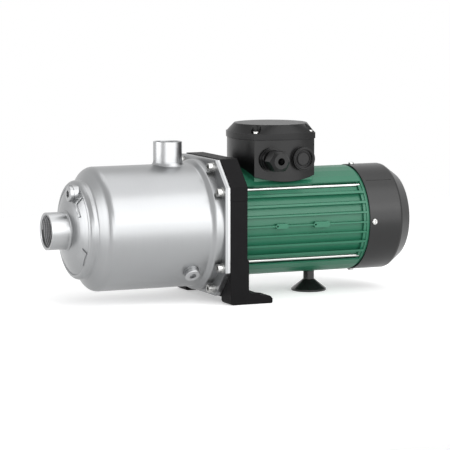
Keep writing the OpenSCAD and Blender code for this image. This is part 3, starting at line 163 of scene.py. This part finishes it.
def surface(name, colour, roughness, metallic=0.0, grain=(400, 400, 400), spread=0.08,
            rough_spread=0.06, bump=0.00002, cloud=18, specular=0.5, edge=0.0):
    """Procedural finish: broad clouds and a fine grain move the colour, gloss and surface.

    An edge radius rounds the sharp edges of the piece in the light that they catch.
    """
    material, nodes, links = new_material(name)
    shader = nodes["Principled BSDF"]
    shader.inputs["Metallic"].default_value = metallic
    shader.inputs["Specular IOR Level"].default_value = specular
    place = nodes.new("ShaderNodeTexCoord")
    stretch = nodes.new("ShaderNodeMapping")
    stretch.inputs["Scale"].default_value = grain
    links.new(place.outputs["Object"], stretch.inputs["Vector"])
    fine = nodes.new("ShaderNodeTexNoise")
    fine.inputs["Scale"].default_value = 1
    fine.inputs["Detail"].default_value = 4
    links.new(stretch.outputs[0], fine.inputs["Vector"])
    clouds = nodes.new("ShaderNodeTexNoise")
    clouds.inputs["Scale"].default_value = cloud
    clouds.inputs["Detail"].default_value = 3
    links.new(place.outputs["Object"], clouds.inputs["Vector"])
    both = nodes.new("ShaderNodeMath")
    both.operation = "ADD"
    links.new(fine.outputs["Fac"], both.inputs[0])
    links.new(clouds.outputs["Fac"], both.inputs[1])
    shade = nodes.new("ShaderNodeMapRange")
    shade.inputs["From Min"].default_value = 0.6
    shade.inputs["From Max"].default_value = 1.4
    links.new(both.outputs[0], shade.inputs["Value"])
    tint = nodes.new("ShaderNodeMix")
    tint.data_type = "RGBA"
    tint.inputs["A"].default_value = (*[c * (1 - spread) for c in colour], 1)
    tint.inputs["B"].default_value = (*[min(1, c * (1 + spread)) for c in colour], 1)
    links.new(shade.outputs[0], tint.inputs["Factor"])
    links.new(tint.outputs["Result"], shader.inputs["Base Color"])
    gloss = nodes.new("ShaderNodeMapRange")
    gloss.inputs["From Min"].default_value = 0.3
    gloss.inputs["From Max"].default_value = 0.7
    gloss.inputs["To Min"].default_value = roughness - rough_spread
    gloss.inputs["To Max"].default_value = roughness + rough_spread
    links.new(fine.outputs["Fac"], gloss.inputs["Value"])
    links.new(gloss.outputs[0], shader.inputs["Roughness"])
    relief = nodes.new("ShaderNodeBump")
    relief.inputs["Strength"].default_value = 1
    relief.inputs["Distance"].default_value = bump
    links.new(fine.outputs["Fac"], relief.inputs["Height"])
    if edge:
        rounded = nodes.new("ShaderNodeBevel")
        rounded.samples = 6
        rounded.inputs["Radius"].default_value = edge
        links.new(rounded.outputs[0], relief.inputs["Normal"])
    links.new(relief.outputs[0], shader.inputs["Normal"])
    return material


def dress(nodes, material):
    """Gives CAD nodes their finish."""
    for node in nodes:
        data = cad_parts[node].data
        data.materials.clear()
        data.materials.append(material)


drawn_steel = surface("drawn_steel", (0.29, 0.295, 0.3), 0.34, metallic=1, grain=(1400, 30, 30),
                      spread=0.04, rough_spread=0.04, bump=0.0000015)
dress(["pump_barrel"], drawn_steel)

# The end face has a bent rib and a plain lozenge beside the stub, and a low rounded rim where
# it turns into the shoulder. All three are pressed out of the same sheet.
dome_radius = 118 * MM
dome_centre = -109 * MM
pad_root = -0.6 * MM
pad_edge = 0.45 * MM
rib_height = 1.5 * MM
lozenge_height = 1.4 * MM
rib_half = 1.3
rib_line = ((-12.5, 39), (-31.5, 41.6), (-25, 33.6), (-37.6, 20))
lozenge = ((-29.8, -27.3), (-42, -17.1), (-47.6, -22.6), (-35.6, -38.7))
rim_profile = ((53.4, -0.6), (53.6, 0), (54, 0.8), (55, 1.4), (56.4, 1.6), (57.8, 1.3),
               (58.8, 0.6), (59.4, -0.6))


def dome_x(y, z, lift):
    """Place along the shaft of a point of the end face, lifted off the sheet."""
    return dome_centre - math.sqrt((dome_radius + lift) ** 2 - y * y - z * z)


def finished(mesh, name, material, smooth=40):
    """Turns a bmesh into a piece that is fixed to the frame of the pump."""
    bmesh.ops.recalc_face_normals(mesh, faces=mesh.faces)
    data = bpy.data.meshes.new(name)
    mesh.to_mesh(data)
    mesh.free()
    data.materials.append(material)
    data.shade_smooth()
    data.set_sharp_from_angle(angle=math.radians(smooth))
    piece = bpy.data.objects.new(name, data)
    bpy.context.scene.collection.objects.link(piece)
    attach(piece, "frame")


def turned_ring(name, profile, steps, place, material, smooth=60):
    """A profile of (radius, height) turned about Z; place moves each of its points."""
    mesh = bmesh.new()
    line = [mesh.verts.new((radius, 0, height)) for radius, height in profile]
    edges = [mesh.edges.new(pair) for pair in zip(line, line[1:])]
    bmesh.ops.spin(mesh, geom=line + edges, cent=(0, 0, 0), axis=(0, 0, 1), dvec=(0, 0, 0),
                   angle=2 * math.pi, steps=steps, use_merge=True)
    for vert in mesh.verts:
        vert.co = place(vert.co.copy())
    bmesh.ops.remove_doubles(mesh, verts=mesh.verts, dist=0.001 * MM)
    finished(mesh, name, material, smooth)


def strip(points, half):
    """Outline of a band of even width along a bent line of (y, z) points."""
    line = [Vector(p) for p in points]
    left, right = [], []
    for i, point in enumerate(line):
        before = (point - line[max(i - 1, 0)]).normalized()
        after = (line[min(i + 1, len(line) - 1)] - point).normalized()
        along = (before + after).normalized()
        normal = Vector((-along.y, along.x))
        step = after if after.length else before
        reach = half / max(0.5, normal.dot(Vector((-step.y, step.x))))
        left.append(tuple(point + normal * reach))
        right.append(tuple(point - normal * reach))
    return left + right[::-1]


def pressed_pad(name, corners, lift):
    """A pad with soft edges whose top follows the end face; corners are (y, z) in mm."""
    mesh = bmesh.new()
    outline = [mesh.verts.new((0, y * MM, z * MM)) for y, z in corners]
    base = mesh.faces.new(outline)
    bmesh.ops.subdivide_edges(mesh, edges=mesh.edges[:], cuts=3)
    grown = bmesh.ops.extrude_face_region(mesh, geom=[base])
    lifted = {v for v in grown["geom"] if isinstance(v, bmesh.types.BMVert)}
    top = [f for f in grown["geom"] if isinstance(f, bmesh.types.BMFace)]
    for vert in mesh.verts:
        vert.co.x = dome_x(vert.co.y, vert.co.z, lift if vert in lifted else pad_root)
        vert.co.z += shaft_height
    bmesh.ops.bevel(mesh, geom=[e for f in top for e in f.edges], offset=pad_edge,
                    offset_type="OFFSET", segments=3, profile=0.5, affect="EDGES", material=-1)
    bmesh.ops.triangulate(mesh, faces=[f for f in mesh.faces if len(f.verts) > 4])
    finished(mesh, name, drawn_steel)


def on_dome(point):
    """Lays a ring about Z on the end face; its height stands off the sheet."""
    return Vector((dome_x(point.x, point.y, point.z), point.x, point.y + shaft_height))


pressed_pad("end_face_rib", strip(rib_line, rib_half), rib_height)
pressed_pad("end_face_lozenge", lozenge, lozenge_height)
turned_ring("end_face_rim", [(r * MM, h * MM) for r, h in rim_profile], steps=128,
            place=on_dome, material=drawn_steel)

# The suction and discharge stubs are turned stainless tube with a female pipe thread. Each is
# welded to the barrel on a soft neck that is drawn out of the sheet.
suction_radius = 22.6 * MM
discharge_radius = 17.5 * MM
discharge_x = -92 * MM
barrel_radius = 75 * MM
suction_mouth = -248.5 * MM
discharge_mouth = 192.3 * MM
neck_lap = 0.3 * MM
thread_start = 2.5 * MM
thread_pitch = 2.309 * MM
suction_thread_radius = 19.475 * MM
discharge_thread_radius = 15.145 * MM
ridge_steps = 40
ridge_section = ((0.2, -0.45), (-0.12, 0), (0.2, 0.45))
turned_steel = surface("turned_steel", (0.37, 0.375, 0.38), 0.33, metallic=1,
                       grain=(900, 200, 200), spread=0.03, rough_spread=0.015,
                       bump=0.0000008)
thread_steel = surface("thread_steel", (0.75, 0.75, 0.76), 0.5, metallic=0.5, spread=0.04,
                       bump=0.000002)
dress(["suction_nozzle", "discharge_nozzle"], turned_steel)


def drawn_collar(name, radius, reach, height, place):
    """A soft neck from the sheet up to a stub, which it laps into a little."""
    steps = 8
    turns = [math.pi / 2 * i / steps for i in range(steps + 1)]
    neck = [(radius + reach * (1 - math.sin(a)), height * (1 - math.cos(a))) for a in turns]
    profile = [(radius + reach, pad_root)] + neck + [(radius - neck_lap, height)]
    turned_ring(name, profile, steps=96, place=place, material=drawn_steel,
                smooth=50)


def on_end_face(point):
    """Turns a ring about Z towards the suction end, with its foot on the end face."""
    return Vector((dome_x(suction_radius, 0, 0) - point.z, point.x, point.y + shaft_height))


def on_barrel_top(point):
    """Sets a ring about Z on top of the barrel and bends its foot to the round."""
    saddle = math.sqrt(barrel_radius ** 2 - point.y ** 2)
    return Vector((point.x + discharge_x, point.y, point.z + saddle + shaft_height))


def pipe_thread(name, radius, turns, place):
    """A low ridge wound round a bore; its section is (mm, pitches) from the ridge's middle."""
    mesh = bmesh.new()
    section = [mesh.verts.new((radius + x * MM, 0, z * thread_pitch)) for x, z in ridge_section]
    edges = [mesh.edges.new((section[i], section[(i + 1) % 3])) for i in range(3)]
    bmesh.ops.spin(mesh, geom=section + edges, cent=(0, 0, 0), axis=(0, 0, 1),
                   dvec=(0, 0, thread_pitch / ridge_steps), angle=2 * math.pi * turns,
                   steps=ridge_steps * turns, use_merge=False)
    bmesh.ops.holes_fill(mesh, edges=[e for e in mesh.edges if e.is_boundary], sides=3)
    for vert in mesh.verts:
        vert.co = place(vert.co.copy())
    finished(mesh, name, thread_steel)


def in_suction(point):
    """Winds inwards from the suction mouth."""
    return Vector((suction_mouth + thread_start + point.z, point.x, point.y + shaft_height))


def in_discharge(point):
    """Winds down from the discharge mouth."""
    return Vector((point.x + discharge_x, point.y, discharge_mouth - thread_start - point.z))


drawn_collar("suction_collar", suction_radius, reach=2.2 * MM, height=2.6 * MM,
             place=on_end_face)
drawn_collar("discharge_collar", discharge_radius, reach=2.6 * MM, height=5.5 * MM,
             place=on_barrel_top)
pipe_thread("suction_thread", suction_thread_radius, turns=6, place=in_suction)
pipe_thread("discharge_thread", discharge_thread_radius, turns=5, place=in_discharge)

# The priming plug and the drain plug are turned stainless with a hexagon socket. Each screws
# into a small seat that is welded into the sheet.
dress(["plug_bosses", "priming_plug", "drain_plug"], turned_steel)

# The O-rings, the lid gasket, the cable seal, the bellows and the slinger are moulded from
# black rubber, and are held by the pieces round them.
seal_rubber = surface("seal_rubber", (0.02, 0.02, 0.02), 0.6, grain=(900, 900, 900), spread=0.2)
dress(["priming_o_ring", "drain_o_ring", "barrel_o_ring", "lid_gasket", "gland_seal",
       "seal_bellows", "slinger"], seal_rubber)

# The casing cover is the second octagonal plate, laser cut from stainless sheet. It closes the
# barrel against the bracket.
plate_steel = surface("plate_steel", (0.4, 0.405, 0.41), 0.32, metallic=1,
                      grain=(300, 300, 900), spread=0.05, bump=0.000005)
dress(["casing_cover"], plate_steel)

# The stages are pressed and welded stainless casings with diffuser vanes, and the impellers
# turn between them on the stainless shaft.
pressed_steel = surface("pressed_steel", (0.55, 0.56, 0.57), 0.32, metallic=1,
                        grain=(500, 500, 500), spread=0.06, bump=0.000006)
dress(["inlet_ring", "stage_casing_1", "stage_casing_2", "stage_casing_3", "stage_casing_4",
       "outlet_ring", "impeller_1", "impeller_2", "impeller_3", "impeller_4",
       "spacer_sleeves", "impeller_nut", "shaft", "seal_spring"], pressed_steel)

# The neck rings are moulded from pale polymer and sit in the stage casings, where the
# impellers' necks run in them.
neck_polymer = surface("neck_polymer", (0.8, 0.8, 0.76), 0.5, spread=0.03)
dress(["neck_rings"], neck_polymer)

# The mechanical seal is a carbon ring that turns on a fixed ceramic seat. A coil spring inside
# the bellows presses it on.
ceramic = surface("ceramic", (0.82, 0.8, 0.74), 0.22, spread=0.02, bump=0.000002)
carbon = surface("carbon", (0.04, 0.04, 0.042), 0.35, spread=0.1)
dress(["seal_seat"], ceramic)
dress(["seal_ring"], carbon)

# The bracket is a grey iron casting with a near-black paint: octagonal lantern, front bearing
# seat and two feet.
bracket_paint = surface("bracket_paint", (0.005, 0.0048, 0.0053), 0.5, grain=(700, 700, 700),
                        spread=0.25, rough_spread=0.08, bump=0.00004, cloud=60,
                        specular=0.07, edge=0.9 * MM)
dress(["motor_bracket"], bracket_paint)

# The screws, washers, tie rods, fan clip and wave washer are steel, zinc plated. Eight
# socket-head screws clamp the plates, and four tie rods pull the motor onto the bracket.
zinc = surface("zinc", (0.5, 0.5, 0.49), 0.32, metallic=1, grain=(700, 700, 700), spread=0.06,
               rough_spread=0.02, bump=0.0000006, edge=0.3 * MM)
dress(["flange_screws", "flange_washers", "tie_rods", "fan_cover_screws", "box_fixing_screws",
       "lid_screws", "fan_clip", "wave_washer"], zinc)

# The motor housing is extruded aluminium with long cooling fins, machined at both ends and
# painted green together with the rear end shield that closes it.
motor_paint = surface("motor_paint", (0.017, 0.131, 0.073), 0.4, grain=(900, 900, 900),
                      spread=0.06, bump=0.000012, cloud=30, specular=0.4)
dress(["motor_housing", "rear_end_shield"], motor_paint)

# The cores are stacks of iron laminations. The stator carries varnished copper windings, and
# the rotor a cage of cast aluminium.
core_iron = surface("core_iron", (0.2, 0.2, 0.21), 0.5, metallic=0.8, grain=(3000, 60, 60),
                    spread=0.15, bump=0.00002)
copper = surface("copper", (0.5, 0.2, 0.08), 0.35, metallic=0.9, grain=(900, 900, 900))
cast_aluminium = surface("cast_aluminium", (0.5, 0.5, 0.51), 0.45, metallic=1,
                         grain=(500, 500, 500), bump=0.00003)
dress(["stator_core", "rotor_core"], core_iron)
dress(["stator_windings"], copper)
dress(["rotor_cage"], cast_aluminium)

# The two ball bearings are ground and polished chrome steel. They sit in the bracket and in
# the rear end shield.
bearing_steel = surface("bearing_steel", (0.65, 0.66, 0.68), 0.15, metallic=1, bump=0.000002)
dress(["bearing_outer_rings", "bearing_inner_rings", "ball_cages"], bearing_steel)

# The fan cover is moulded black plastic with a grille at its rear, and four radial screws hold
# it. The plastic fan turns inside it.
cover_plastic = surface("cover_plastic", (0.007, 0.007, 0.0072), 0.32,
                        grain=(1200, 1200, 1200), spread=0.15, rough_spread=0.02,
                        bump=0.000003, specular=0.38, edge=0.7 * MM)
fan_plastic = surface("fan_plastic", (0.02, 0.02, 0.02), 0.5, spread=0.2)
dress(["fan_cover"], cover_plastic)
dress(["fan"], fan_plastic)

# The terminal box is moulded black plastic on a saddle of the housing, with a bevelled lid and
# two cable entries: a gland with its nut, and a blind plug.
box_plastic = surface("box_plastic", (0.003, 0.003, 0.0032), 0.32, grain=(1200, 1200, 1200),
                      spread=0.15, rough_spread=0.02, bump=0.000003, specular=0.27,
                      edge=0.6 * MM)
lid_plastic = surface("lid_plastic", (0.004, 0.004, 0.0042), 0.36, grain=(1200, 1200, 1200),
                      spread=0.15, rough_spread=0.02, bump=0.000003, specular=0.22,
                      edge=0.8 * MM)
dress(["terminal_box", "gland_body", "gland_nut", "blind_plug"], box_plastic)
dress(["terminal_box_lid"], lid_plastic)

# The blind plug has a raised rim and a step round its recessed middle, both moulded with it.
# Their profiles are (radius, depth behind the plug's face) in mm.
plug_x, plug_face, plug_z = 65.5 * MM, -54.65 * MM, 169.7 * MM
plug_rim = ((10.8, 0.4), (11.1, -0.5), (12.2, -0.8), (13.3, -0.5), (13.6, 0.4))
plug_step = ((7.4, 2.2), (7.6, 1.2), (8.2, 0.9), (8.9, 1.2), (9.1, 2.2))


def on_plug(point):
    """Turns a ring about Z to the front, round the middle of the blind plug."""
    return Vector((plug_x + point.x, plug_face + point.z, plug_z + point.y))


for name, profile in (("blind_plug_rim", plug_rim), ("blind_plug_step", plug_step)):
    turned_ring(name, [(r * MM, d * MM) for r, d in profile], steps=64, place=on_plug,
                material=lid_plastic)

# The terminal block is pressed brown resin with brass studs, and is screwed to the floor of
# the box.
block_resin = surface("block_resin", (0.25, 0.1, 0.04), 0.4)
brass = surface("brass", (0.6, 0.42, 0.16), 0.3, metallic=1)
dress(["terminal_block"], block_resin)
dress(["terminal_studs"], brass)

# The support foot is a moulded stem with a bell-shaped pad of hard glossy rubber. The stem
# screws into the underside of the motor.
foot_rubber = surface("foot_rubber", (0.008, 0.008, 0.008), 0.2, grain=(900, 900, 900),
                      spread=0.2, rough_spread=0.04, bump=0.000004)
dress(["support_pad", "support_stud"], foot_rubber)
